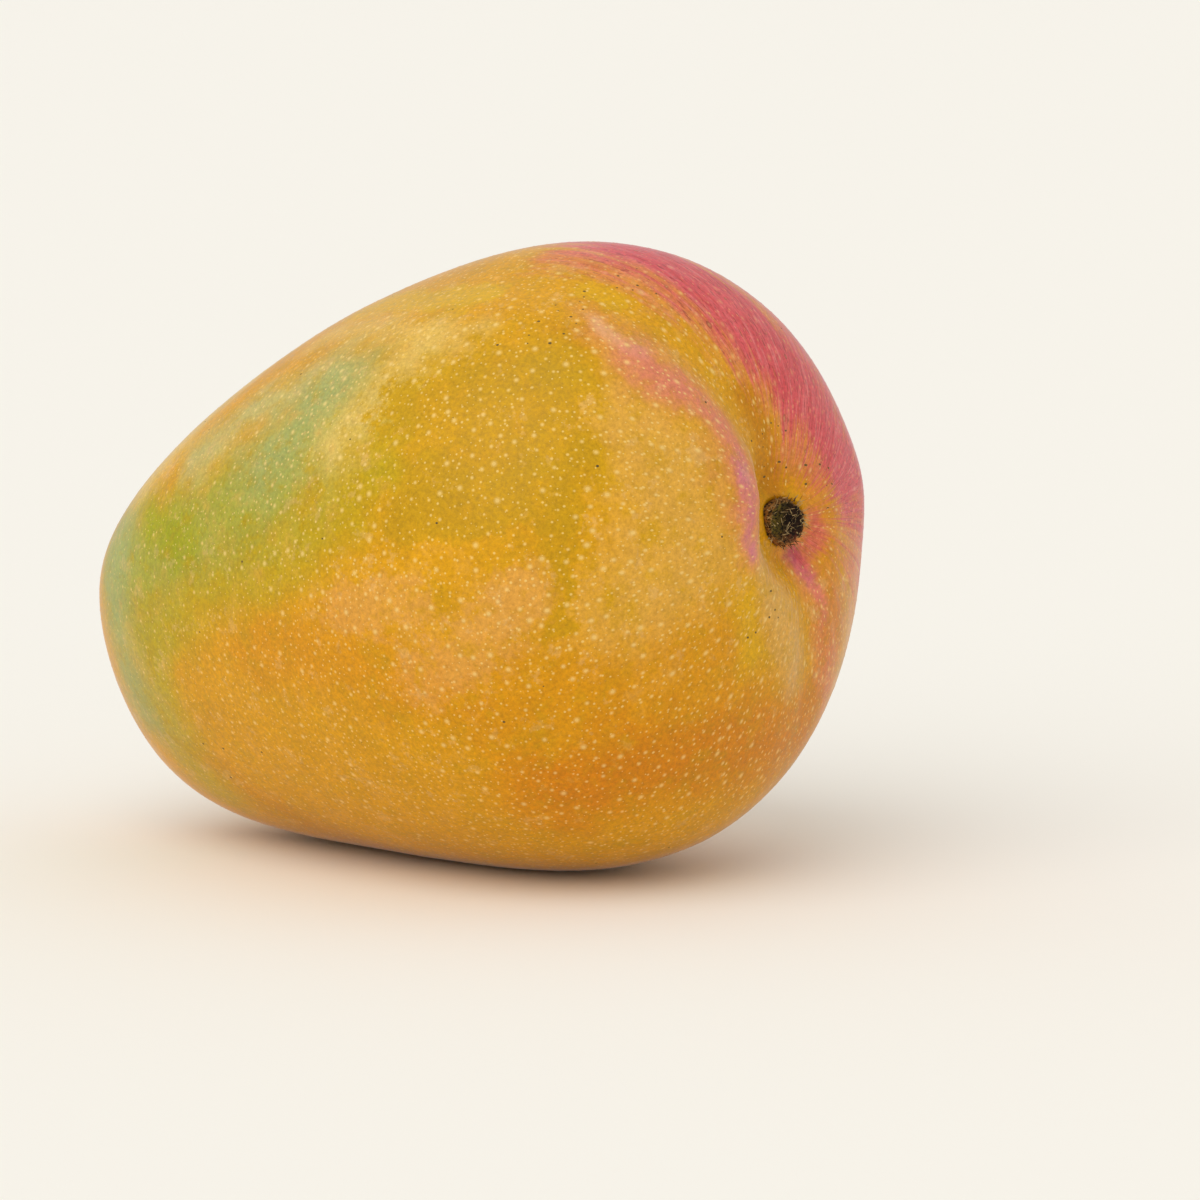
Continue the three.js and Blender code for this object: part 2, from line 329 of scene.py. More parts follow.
    # The small flat that it rests on, then metres
    final = add("SeparateXYZ", add("GeometryNodeInputPosition")).outputs
    rested = add("CombineXYZ", final["X"], final["Y"], add("Math/MAXIMUM", final["Z"], 0.0))
    inMetres = add("VectorMath/SCALE", rested, values={"Scale": mm})
    done = add("GeometryNodeSetPosition", detailed, values={"Position": inMetres})
    real = add("GeometryNodeRealizeInstances", add("GeometryNodeSetShadeSmooth", done))
    peeled = add("GeometryNodeSetMaterial", real, values={"Material": given["Peel"]})
    plug(tree, result["Geometry"], peeled)
    return tree


form = grow("mango_form", skinTree(), fruitForm)
corners, polygons = [v.co for v in form.data.vertices], [p.vertices[:] for p in form.data.polygons]
skinFaces = BVHTree.FromPolygons(corners, polygons)
print("form grown")


# The point of the skin that a pixel of the 1200 pixel frame shows, in metres
def onSkin(x, y):
    camera = bpy.context.scene.camera
    reach = view["pixelsPerMm"] * view["distance"] / mm
    aim = Vector(((x - view["middleX"]) / reach, (view["middleY"] - y) / reach, -1))
    ray = (camera.rotation_euler.to_matrix() @ aim).normalized()
    hit = skinFaces.ray_cast(camera.location, ray)[0]
    return hit or skinFaces.find_nearest(camera.location + ray * view["distance"])[0]


# A place in mm: a pixel of the frame, or a point given in mm for the sides that the photo hides
def placeInMm(place):
    return tuple(onSkin(*place) / mm) if len(place) == 2 else place


# How near a point is to a line from one place to another, in mm, or to what came before
def strokeGroup(kind):
    tree, add, given, result = newGroup("Stroke", kind, {
        "Place": (0.0, 0.0, 0.0), "From": (0.0, 0.0, 0.0), "To": (1.0, 0.0, 0.0), "Gap Before": 1000.0},
        {"Gap": "NodeSocketFloat"})
    line = add("VectorMath/SUBTRACT", given["To"], given["From"])
    away = add("VectorMath/SUBTRACT", given["Place"], given["From"])
    dot = add("VectorMath/DOT_PRODUCT", away, line)
    share = add("Math/DIVIDE", dot, add("VectorMath/DOT_PRODUCT", line, line), use_clamp=True)
    foot = add("VectorMath/SCALE", line, values={"Scale": share})
    gap = add("VectorMath/DISTANCE", away, foot)
    plug(tree, result["Gap"], add("Math/MINIMUM", gap, given["Gap Before"]))
    return tree


# Share of a colour at a gap from its line: full inside its core, ragged by the noise that it is given
def edgeGroup(kind):
    tree, add, given, result = newGroup("Ragged Edge", kind, {
        "Gap": 0.0, "Width": 5.0, "Core": 0.3, "Rough": 0.3, "Noise": 0.5, "Strength": 1.0},
        {"Share": "NodeSocketFloat"})
    near = add("Math/MULTIPLY_ADD", add("Math/DIVIDE", given["Gap"], given["Width"]), -1.0, 1.0)
    swing = add("Math/MULTIPLY_ADD", given["Noise"], 2.0, -1.0)
    ragged = add("Math/MULTIPLY_ADD", swing, given["Rough"], near)
    soft = add("Math/SUBTRACT", 1.0, given["Core"])
    share = add("MapRange/SMOOTHSTEP", ragged, 0.0, soft, 0.0, given["Strength"])
    plug(tree, result["Share"], share)
    return tree


# Lays areas over a colour, in order, and gives back the colour and the largest share of any area
def layAreas(tree, areas, colour, place, ragged):
    kind, groupNode = tree.bl_idname, tree.bl_idname.replace("Tree", "Group")
    stroke, edge, add, most = strokeGroup(kind), edgeGroup(kind), partial(addNode, tree), 0.0
    for name, (paint, places, width, core, strength, rough) in areas.items():
        spots = [placeInMm(spot) for spot in places]
        gap = None
        for start, end in zip(spots, spots[1:]):
            gap = add(groupNode, node_tree=stroke,
                      values={"Place": place, "From": start, "To": end, "Gap Before": gap})
        share = add(groupNode, node_tree=edge, label=name, values={
            "Gap": gap, "Width": width, "Core": core, "Rough": rough, "Noise": ragged, "Strength": strength})
        colour = add("Mix/RGBA", share, colour, linearColour(peelPaints[paint]))
        most = add("Math/MAXIMUM", most, share)
    return colour, most


# A place that wanders by about 2 mm, so that no edge is a clean curve
def loosePlace(add, place):
    wobble = add("TexNoise", place, values={"Scale": 0.09, "Detail": 4.0, "Roughness": 0.6})
    centred = add("VectorMath/SUBTRACT", wobble.outputs["Color"], (0.5, 0.5, 0.5))
    moved = add("VectorMath/SCALE", centred, values={"Scale": 9.0})
    return add("VectorMath/ADD", place, moved)


# Pigments of a ripe mango's peel, with a pale green that is painted sheen and a deep orange that also stands
# in for shade
peelPaints = {
    "gold": "#d69e3e", "paleGold": "#dcaa58", "straw": "#dcbc6e", "yellow": "#d9b226",
    "oliveGold": "#bd9206", "olive": "#b3a038", "orange": "#d48e30", "deepOrangeAndShade": "#d0800c",
    "brownGold": "#bd7c24", "copper": "#d08c46", "beige": "#d8b27a", "peach": "#dea468",
    "palePeach": "#e6b48e", "coral": "#d8865f", "pink": "#de817c", "rose": "#d4666a",
    "magenta": "#b0507a", "lilac": "#cb7890", "leafGreen": "#a2a044", "greyGreen": "#a0a868",
    "brightGreen": "#9c9e20", "greenSheenPainted": "#b9b676", "burntGold": "#c29206", "brightGold": "#d8a41a",
}
# Soft areas, laid over each other in this order:
# paint, places that the area's line runs through, half width in mm, core, strength, raggedness
groundAreas = {
    "backGold": ("gold", [(-20, 40, 50), (40, 44, 40)], 36, 0.2, 0.8, 0.4),
    "backOchre": ("brownGold", [(-30, 24, 14), (50, 24, 14)], 20, 0.1, 0.6, 0.4),
    "backGreen": ("leafGreen", [(-52, 12, 54), (-24, 36, 58)], 26, 0.0, 0.5, 0.5),
    # painted shade: the bottom edge darkened with brown gold towards the floor
    "undersideShadePainted": ("brownGold", [(190, 790), (300, 845), (430, 865)], 9, 0.0, 0.4, 0.3),
    "middleGlow": ("peach", [(330, 620), (440, 650), (540, 610)], 14, 0.0, 0.15, 0.5),
    "faceGlow": ("paleGold", [(610, 400), (670, 480), (680, 570), (640, 640)], 21, 0.1, 0.9, 0.3),
    "lowOrange": ("orange", [(250, 640), (350, 660), (450, 700), (570, 690), (720, 650)], 13, 0.0, 0.6, 0.5),
    # partly the peel's deep orange, partly a painted shadow darkening the lower right
    "deepOrangeAndShade": ("deepOrangeAndShade", [(560, 790), (630, 768), (715, 748), (805, 722)], 16, 0.05, 1.0, 0.4),
    "facePatch": ("yellow", [(745, 600), (750, 650)], 6, 0.0, 0.45, 0.5),
    "middleOlive": ("oliveGold", [(400, 385), (480, 390), (560, 365)], 12, 0.0, 0.75, 0.6),
    "middleOliveLow": ("oliveGold", [(410, 475), (490, 485), (565, 460)], 10, 0.0, 0.8, 0.6),
    "greenFoot": ("olive", [(145, 630), (215, 590), (300, 550), (365, 480), (385, 430)], 11, 0.0, 0.75, 0.5),
    "green": ("leafGreen", [(120, 570), (190, 535), (270, 490), (325, 425)], 14.5, 0.15, 0.97, 0.35),
    # painted sheen: a pale green-white highlight laid into the peel's colour on the upper left
    "greenSheenPainted": ("greenSheenPainted", [(200, 455), (255, 410), (330, 375)], 9, 0.0, 0.8, 0.4),
    "greenBlue": ("greyGreen", [(270, 458), (320, 412), (352, 372)], 12, 0.0, 0.8, 0.4),
    # painted sheen: a pale straw highlight laid into the peel on the upper left of the face
    "strawSheenPainted": ("straw", [(335, 440), (370, 405), (420, 350)], 10, 0.0, 0.8, 0.4),
    "tipGrey": ("greyGreen", [(124, 525), (114, 595), (124, 650), (150, 715)], 12, 0.0, 0.85, 0.3),
    # painted reflection: the lower left edge paled with straw, as a pale rim
    "limbStrawReflectionPainted": ("straw", [(103, 640), (120, 700), (150, 757)], 5, 0.0, 0.35, 0.4),
    "brightLeaf": ("brightGreen", [(148, 515), (182, 545)], 7, 0.0, 0.75, 0.5),
    "oliveStreak": ("olive", [(150, 640), (170, 715), (212, 785)], 11, 0.0, 0.7, 0.5),
    # painted highlight: a pale straw strip along the upper left edge, where the light falls
    "upperLeftHighlightPainted": ("straw", [(146, 484), (182, 432), (246, 364), (326, 306)], 9, 0.1, 0.85, 0.4),
    "topStraw": ("straw", [(330, 335), (400, 330), (480, 335)], 6, 0.0, 0.55, 0.5),
    "valley": ("gold", [(600, 305), (645, 325), (692, 355), (728, 395)], 6, 0.15, 0.9, 0.3),
    "valleyFoot": ("brownGold", [(742, 400), (762, 445), (770, 490)], 5, 0.1, 0.85, 0.3),
    "stalkOrange": ("copper", [(800, 470), (825, 510), (832, 560), (836, 620), (820, 680)],
                    7, 0.1, 0.85, 0.3),
    # painted reflection: the right edge below the stalk paled with peach, as a pale rim
    "limbPeachReflectionPainted": ("palePeach", [(856, 560), (850, 620), (832, 690), (812, 735)], 10, 0.0, 0.45, 0.4),
    # partly the peel's pale beige streaks below the stalk, partly painted sheen where the cheek turns
    "beigeFoldAndSheen": ("beige", [(762, 565), (782, 620), (794, 680)], 7.5, 0.0, 0.45, 0.6),
    "ridgeGlow": ("coral", [(600, 330), (650, 372), (700, 402), (732, 445), (750, 490)], 10, 0.0, 0.6, 0.5),
    "creaseGlow": ("coral", [(790, 545), (812, 580), (828, 640), (826, 690)], 6, 0.0, 0.75, 0.3),
}
# Areas with an edge too sharp for the mesh, drawn by the material
sharpAreas = {
    "burntBlotch": ("burntGold", [(400, 405), (480, 428), (555, 402)], 6.5, 0.5, 0.65, 1.8),
    "burntBlotchLow": ("burntGold", [(410, 515), (470, 515), (555, 506)], 4.8, 0.6, 0.9, 1.3),
    "burntStreak": ("burntGold", [(556, 520), (560, 575), (556, 622)], 3.8, 0.4, 0.8, 1.2),
    "peachLeft": ("peach", [(345, 615), (410, 605)], 5.5, 0.5, 0.4, 1.5),
    "peachMiddle": ("peach", [(430, 685), (470, 655), (520, 600)], 7.5, 0.4, 0.42, 1.5),
    "topYellow": ("yellow", [(372, 307), (430, 300), (486, 294)], 6, 0.4, 0.55, 0.9),
    "topGoldSpot": ("brightGold", [(594, 292), (614, 300)], 3.2, 0.7, 0.8, 1.2),
    "ridgePale": ("palePeach", [(597, 326), (635, 350)], 4, 0.0, 0.6, 0.6),
    "ridgePink": ("pink", [(632, 356), (686, 394), (727, 430), (747, 472), (751, 545)], 6, 0.0, 0.6, 0.6),
    "ridgeLilac": ("lilac", [(742, 462), (749, 500), (751, 548)], 2.8, 0.0, 0.75, 0.5),
    "creaseMagenta": ("magenta", [(791, 556), (800, 565), (810, 578)], 2.5, 0.0, 0.8, 0.4),
    "creasePink": ("pink", [(800, 566), (816, 592), (828, 630)], 2.6, 0.0, 0.7, 0.6),
}
# The red side: its edge is drawn out in streaks along the meridians
blushAreas = {
    "blushFringe": ("coral", [(-8, 24, 96), (34, 40, 80), (50, 46, 50)], 27, 0.0, 0.75, 0.6),
    "stalkRose": ("rose", [(812, 516), (818, 532), (800, 552)], 3.6, 0.0, 0.7, 0.6),
    "blushEdge": ("coral", [(560, 258), (630, 275), (690, 312), (745, 362), (785, 412), (800, 452)],
                  7, 0.0, 0.9, 0.8),
    "blushTop": ("pink", [(440, 266), (520, 248), (600, 250), (660, 268)], 8, 0.05, 0.9, 0.8),
    "blushShoulder": ("rose", [(640, 252), (700, 284), (765, 340), (812, 400), (844, 465)],
                      11, 0.4, 0.97, 0.7),
    "blushBack": ("rose", [(4, 18, 95), (30, 18, 95), (48, 26, 80), (56, 34, 60)], 27, 0.1, 0.95, 0.6),
}


# Writes the ground colours on the form's points
def groundTree():
    tree, add, given, result = newGroup("Ground Colours", "GeometryNodeTree", {
        "Geometry": "NodeSocketGeometry", "Peel": "NodeSocketMaterial"})
    place = add("VectorMath/SCALE", add("GeometryNodeInputPosition"), values={"Scale": 1 / mm})
    ragged = add("TexNoise", place, values={"Scale": 0.2, "Detail": 3.0, "Roughness": 0.6})
    base = add("FunctionNodeInputColor", value=linearColour(peelPaints["gold"]))
    colour = layAreas(tree, groundAreas, base, loosePlace(add, place), ragged)[0]
    written = add("GeometryNodeStoreNamedAttribute/FLOAT_COLOR", given["Geometry"],
                  values={"Name": "ground", "Value": colour})
    peeled = add("GeometryNodeSetMaterial", written, values={"Material": given["Peel"]})
    plug(tree, result["Geometry"], peeled)
    return tree


# Fine marks, one pattern a row: where it lies (mm, or turns round the axis and way to the tip), its scale,
# shift, detail and roughness, whether it is on the blush, and its marks. A mark has the noise where it
# starts and where it is full, its largest share and its colour.
peelMarks = {
    "streaks": ("meridian", (44.0, 44.0, 24.0), 0.0, 3.0, 0.6, True,
                [(0.52, 0.7, 0.42, "#b23c38"), (0.47, 0.32, 0.36, "#e8a69c")]),
    "scratches": ("meridian", (105.0, 105.0, 75.0), 0.0, 2.0, 0.5, True, [(0.6, 0.66, 0.55, "#6e3026")]),
    "drift": ("place", (0.22, 0.22, 0.22), 0.0, 7.0, 0.74, False,
              [(0.5, 0.68, 0.5, "#bf9414"), (0.48, 0.3, 0.42, "#e3ae62")]),
    "scuffs": ("place", (0.26, 0.26, 0.26), 10.4, 7.0, 0.72, False, [(0.57, 0.62, 0.26, "#e2bc84")]),
}
blushTeeth = (26.0, 26.0, 9.0)  # how fine the blush's edge is drawn out, round the axis and along it


# Every colour of the peel, and how much of it is blush
def mangoColourGroup():
    tree, add, given, result = newGroup("Mango Colour", "ShaderNodeTree", {},
                                        {"Colour": "NodeSocketColor", "Blush": "NodeSocketFloat"})
    coordinates = add("TexCoord").outputs["Object"]
    place = add("VectorMath/SCALE", coordinates, values={"Scale": 1 / mm})
    meridian = add("Attribute", attribute_name="meridian").outputs["Vector"]
    ground = add("Attribute", attribute_name="ground").outputs["Color"]
    loose = loosePlace(add, place)
    ragged = add("TexNoise", place, values={"Scale": 0.3, "Detail": 7.0, "Roughness": 0.78})
    teeth = add("TexNoise", add("VectorMath/MULTIPLY", meridian, blushTeeth),
                values={"Scale": 1.0, "Detail": 4.0, "Roughness": 0.62})
    colour = layAreas(tree, sharpAreas, ground, loose, ragged)[0]
    colour, blush = layAreas(tree, blushAreas, colour, loose, teeth)
    plain = add("Math/SUBTRACT", 1.0, blush)
    spaces = {"place": place, "meridian": meridian}
    for name, (space, scale, shift, detail, roughness, onBlush, marks) in peelMarks.items():
        spot = add("VectorMath/MULTIPLY_ADD", spaces[space], scale, (shift, 0.0, 0.0))
        pattern = add("TexNoise", spot, label=name,
                      values={"Scale": 1.0, "Detail": detail, "Roughness": roughness})
        for start, full, most, hexColour in marks:
            mark = add("MapRange", pattern, start, full, 0.0, most)
            share = add("Math/MULTIPLY", mark, blush if onBlush else plain)
            colour = add("Mix/RGBA", share, colour, linearColour(hexColour))

    # Light and dark: clouds of about 8 mm, grain of half a millimetre
    clouds = add("TexNoise", place, values={"Scale": 0.13, "Detail": 5.0, "Roughness": 0.6})
    grain = add("TexNoise", place, values={"Scale": 1.5, "Detail": 4.0, "Roughness": 0.7})
    cloudLight = add("MapRange", clouds, 0.3, 0.7, 0.93, 1.04)
    light = add("Math/MULTIPLY", cloudLight, add("MapRange", grain, 0.3, 0.7, 0.8, 1.2))
    lit = add("HueSaturation", values={"Saturation": 1.08, "Value": light, "Color": colour})
    plug(tree, result["Colour"], lit)
    plug(tree, result["Blush"], blush)
    return tree


# How the peel takes light. The scales are noise cells a metre: pores of about 0.6 mm, unevenness of 3 mm
peelFinish = {"poreScale": 1500.0, "unevenScale": 300.0, "bump": 0.0001, "glossy": 0.36, "matt": 0.5,
              "bloom": "#f2e8f2", "quietOnBlush": -0.7}


# Skin of a ripe mango: a waxy, finely pored peel. Wax gives broad soft highlights, the pores
# break the highlight up, and a faint bloom pales the edges.
def makeSkinMaterial(name, mango, pores=None):
    material, add = newMaterial(name)
    mangoColour = add("Group", node_tree=mango)
    colour = mangoColour.outputs["Colour"]
    if pores:  # a pore is pale in its middle and fades into the peel, and shows less on the blush
        pip = add("Attribute", attribute_name="pip").outputs["Fac"]
        halo = add("MapRange/SMOOTHSTEP", pip, 0.2, 0.85, 0.0, pores["halo"])
        core = add("MapRange/SMOOTHSTEP", pip, pores["edge"], pores["edge"] + 0.15, 0.0, pores["core"])
        quiet = add("Math/MULTIPLY_ADD", mangoColour.outputs["Blush"], peelFinish["quietOnBlush"], 1.0)
        share = add("Math/MULTIPLY", add("Math/MAXIMUM", halo, core), quiet)
        colour = add("Mix/RGBA", share, colour, linearColour(pores["colour"]))
    place = add("TexCoord").outputs["Object"]
    grain = add("TexNoise", place,
                values={"Scale": peelFinish["poreScale"], "Detail": 3.0, "Roughness": 0.6})
    uneven = add("TexNoise", place,
                 values={"Scale": peelFinish["unevenScale"], "Detail": 2.0, "Roughness": 0.5})
    height = add("Math/MULTIPLY_ADD", uneven, 2.0, grain)
    bump = add("Bump", values={"Strength": 0.5, "Distance": peelFinish["bump"], "Height": height})
    shine = add("MapRange", grain, 0.3, 0.7, peelFinish["glossy"], peelFinish["matt"])
    shader = add("BsdfPrincipled", values={
        "Base Color": colour, "Roughness": shine, "Normal": bump, "IOR": 1.45, "Specular IOR Level": 0.25,
        "Sheen Weight": 0.42, "Sheen Roughness": 0.2, "Sheen Tint": linearColour(peelFinish["bloom"])})
    add("OutputMaterial", shader)
    return material


mangoColour = mangoColourGroup()
peel = makeSkinMaterial("waxyMangoPeel", mangoColour)
skin = grow("mango_skin", groundTree(), {"Peel": peel}, base=form.data)
bpy.data.objects.remove(form)
print("peel coloured")


# Lenticels, the pale breathing pores of the peel: low domes scattered over the whole skin. Sizes in mm,
# density a square mm; Sink is how far the rim lies below the top, as a share of the rise.
lenticels = {"Spacing": 1.9, "Density": 0.36, "Radius": 0.9, "Rise": 0.05, "Sink": -1.6, "Sides": 8,
             "Smooth": True, "Stretch": 1.0, "Seed": 11}
pinpricks = {"Spacing": 0.85, "Density": 0.6, "Radius": 0.42, "Rise": 0.03, "Sink": -1.6, "Sides": 6,
             "Smooth": True, "Stretch": 1.3, "Seed": 4}
lenticelLook = {"colour": "#f6d483", "halo": 0.38, "core": 0.56, "edge": 0.6}
pinprickLook = {"colour": "#f3d07c", "halo": 0.45, "core": 0.66, "edge": 0.5}
scarEdge = 5.6  # mm from the stalk's middle within which there are no pores
flatTop = 0.5 * mm  # and none this near the floor


# Points on the skin, as close as the given spacing and density allow
def scatterPoints(add, given, factor):
    return add("GeometryNodeDistributePointsOnFaces", distribute_method="POISSON", values={
        "Mesh": given["Geometry"], "Distance Min": add("Math/MULTIPLY", given["Spacing"], mm),
        "Density Max": add("Math/DIVIDE", given["Density"], mm * mm), "Density Factor": factor,
        "Seed": given["Seed"]}).outputs


# A low dome on every point: its rim sinks into the peel, its top stands out by a few hundredths
def placeDomes(tree, add, given, result, points, rotation, scale):
    disc = add("GeometryNodeMeshCircle", given["Sides"], 1.0, fill_type="TRIANGLE_FAN")
    fromTop = add("VectorMath/LENGTH", add("GeometryNodeInputPosition"))
    slope = add("Math/MULTIPLY", given["Rise"], given["Sink"])
    lift = add("Math/MULTIPLY_ADD", fromTop, slope, given["Rise"])
    marked = add("GeometryNodeStoreNamedAttribute/FLOAT", disc, values={
        "Name": "pip", "Value": add("Math/SUBTRACT", 1.0, fromTop)})
    dome = add("GeometryNodeSetPosition", marked, values={"Offset": add("CombineXYZ", 0.0, 0.0, lift)})
    placed = add("GeometryNodeInstanceOnPoints", points, values={
        "Instance": dome, "Rotation": rotation, "Scale": scale})
    real = add("GeometryNodeRealizeInstances", placed)
    smooth = add("GeometryNodeSetShadeSmooth", real, values={"Shade Smooth": given["Smooth"]})
    finished = add("GeometryNodeSetMaterial", smooth, values={"Material": given["Material"]})
    plug(tree, result["Geometry"], finished)


def poreTree():
    tree, add, given, result = newGroup("Pores", "GeometryNodeTree", {
        "Geometry": "NodeSocketGeometry", "Material": "NodeSocketMaterial", "Stalk": (0.0, 0.0, 0.0),
        **lenticels})

    # Where they grow: everywhere but on the scar and on the flat that it rests on
    here = add("GeometryNodeInputPosition")
    stalkPlace = add("GeometryNodeInputNamedAttribute/FLOAT_VECTOR", "stalkPlace")
    fromStalk = add("VectorMath/LENGTH", add("VectorMath/MULTIPLY", stalkPlace, (1.0, 1.0, 0.0)))
    cosine = add("SeparateXYZ", stalkPlace).outputs["Z"]
    isTip = add("Math/LESS_THAN", cosine, 0.0)
    offScar = add("Math/MAXIMUM", add("Math/GREATER_THAN", fromStalk, scarEdge), isTip)
    offFlat = add("Math/GREATER_THAN", add("SeparateXYZ", here).outputs["Z"], flatTop)
    points = scatterPoints(add, given, add("Math/MULTIPLY", offScar, offFlat))

    # They lie along the lines that run to the stalk, longer and slimmer near it, and are small at the tip
    toStalk = add("VectorMath/SUBTRACT", given["Stalk"], here)
    turned = add("FunctionNodeAlignRotationToVector", axis="X", pivot_axis="Z", values={
        "Rotation": points["Rotation"], "Vector": toStalk})
    nearStalk = add("MapRange", fromStalk, 18.0, 46.0, given["Stretch"], 0.0)
    stretch = add("Math/MULTIPLY_ADD", nearStalk, add("Math/SUBTRACT", 1.0, isTip), 1.0)
    shrunk = add("MapRange", cosine, 0.1, -0.8, 1.0, 0.55)
    crowded = add("Math/MAXIMUM", add("MapRange", fromStalk, 12.0, 44.0, 0.62, 1.0), isTip)
    chance = add("FunctionNodeRandomValue/FLOAT", values={"Min": 0.0, "Max": 1.0, "Seed": given["Seed"]})
    sized = add("MapRange", add("Math/POWER", chance, 2.2), 0.0, 1.0, 0.45, 1.2)  # many small, few large
    share = add("Math/MULTIPLY", sized, add("Math/MULTIPLY", shrunk, crowded))
    radius = add("Math/MULTIPLY", add("Math/MULTIPLY", given["Radius"], mm), share)
    scale = add("CombineXYZ", add("Math/MULTIPLY", radius, stretch), radius, mm)
    placeDomes(tree, add, given, result, points["Points"], turned, scale)
    return tree


stalkPoint = onSkin(781, 520)
pores = poreTree()
largePores = grow("lenticels", pores, {**lenticels, "Stalk": stalkPoint, "Material": makeSkinMaterial(
    "palePeelPores", mangoColour, lenticelLook)}, base=skin.data)
smallPores = grow("pinpricks", pores, {**pinpricks, "Stalk": stalkPoint, "Material": makeSkinMaterial(
    "smallPeelPores", mangoColour, pinprickLook)}, base=skin.data)
print("lenticels scattered")


# Dark specks: tiny dry scars in a few loose groups, flat and irregular
specks = {"Spacing": 1.3, "Density": 1.0, "Radius": 0.42, "Rise": 0.02, "Sink": -1.5, "Sides": 7,
          "Smooth": False, "Background": 0.004, "Crowd": 0.4, "Reach": 6.0, "Seed": 21}
speckCrowds = [(520, 336), (548, 322), (576, 302), (628, 284), (772, 448), (813, 480), (760, 618)]


# Dry plant tissue: matt, with a grain that runs from a dark tone to a pale one
def makeDryMaterial(name, look):
    material, add = newMaterial(name)
    grain = add("TexNoise", add("TexCoord").outputs["Object"], values={"Scale": look["grain"], "Detail": 2.0})
    colour = add("Mix/RGBA", add("MapRange", grain, look["from"], look["to"], 0.0, 1.0),
                 linearColour(look["dark"]), linearColour(look["pale"]))
    shader = add("BsdfPrincipled", values={
        "Base Color": colour, "Roughness": look["roughness"], "IOR": look["ior"],
        "Specular IOR Level": look["specular"]})
    add("OutputMaterial", shader)
    return material


# Dry scar tissue: nearly black olive brown. Fibres of the stalk: dark brown to pale straw.
scarLook = {"grain": 700.0, "from": 0.0, "to": 1.0, "dark": "#3a3018", "pale": "#7a6020",
            "roughness": 0.7, "ior": 1.45, "specular": 0.5}
fibreLook = {"grain": 900.0, "from": 0.4, "to": 0.65, "dark": "#5a3a1e", "pale": "#c8ac78",
             "roughness": 0.8, "ior": 1.5, "specular": 0.2}


def speckTree():
    crowds = {"Crowd %d" % i: (0.0, 0.0, 0.0) for i in range(len(speckCrowds))}
    tree, add, given, result = newGroup("Specks", "GeometryNodeTree", {
        "Geometry": "NodeSocketGeometry", "Material": "NodeSocketMaterial", **crowds, **specks})
    here = add("GeometryNodeInputPosition")
    reach = add("Math/MULTIPLY", given["Reach"], mm)
    core = add("Math/MULTIPLY", reach, 0.3)
    density = given["Background"]
    for crowd in crowds:
        gap = add("VectorMath/DISTANCE", here, given[crowd])
        density = add("Math/ADD", density, add("MapRange", gap, reach, core, 0.0, given["Crowd"]))
    offFlat = add("Math/GREATER_THAN", add("SeparateXYZ", here).outputs["Z"], flatTop)
    points = scatterPoints(add, given, add("Math/MULTIPLY", density, offFlat))
    chance = add("FunctionNodeRandomValue/FLOAT", values={"Min": 0.5, "Max": 1.0, "Seed": given["Seed"]})
    radius = add("Math/MULTIPLY", add("Math/MULTIPLY", given["Radius"], mm), chance)
    scale = add("CombineXYZ", radius, add("Math/MULTIPLY", radius, 0.8), mm)
    placeDomes(tree, add, given, result, points["Points"], points["Rotation"], scale)
    return tree


scars = grow("dark_specks", speckTree(), {**specks, "Material": makeDryMaterial("dryPeelScars", scarLook), **{
    "Crowd %d" % i: onSkin(*pixel) for i, pixel in enumerate(speckCrowds)}}, base=skin.data)
print("specks scattered")


# Stalk stub: a plug of dead stalk wood, hollowed where it broke off, with a ragged rim. Sizes in mm.
stub = {"radius": 3.7, "foot": -2.6, "rim": 0.35, "dish": 1.5, "dishShare": 0.86, "dishCurve": 0.8,
        "lipShare": 0.93, "lipFall": 0.9, "ragged": 0.07, "crust": 0.4, "crustScale": 0.9, "teethScale": 1.3,
        "sides": 120, "rings": 26, "seed": 5}
woodZones = {  # start, full, largest share and colour: in mm, the rim in shares of the radius
    "frontSide": (0.6, -1.8, 0.85, "#78661f"), "foot": (-1.2, -3.6, 0.8, "#8e442a"),
    "rim": (0.84, 0.93, 0.9, "#a5713c"), "cracks": (0.014, 0.005, 1.0, "#b79d68"),
}


# Where the stalk sits: the middle of the scar, its top, and the turn that takes +Z out of the fruit
def stalkSeat():
    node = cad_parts["stem_stub"]
    corners = [node.matrix_world @ v.co for v in node.data.vertices]
    low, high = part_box("stem_stub")
    middle = (Vector(low) + Vector(high)) / 2
    cloud = np.array([list(c - middle) for c in corners])
    axis = Vector(np.linalg.eigh(cloud.T @ cloud)[1][:, 0])  # the way in which its corners spread least
    axis = axis if axis.x > 0 else -axis
    top = max((c - middle).dot(axis) for c in corners)
    return middle, axis.to_track_quat("Z", "Y"), top


stalkMiddle, stalkTurn, stalkTop = stalkSeat()


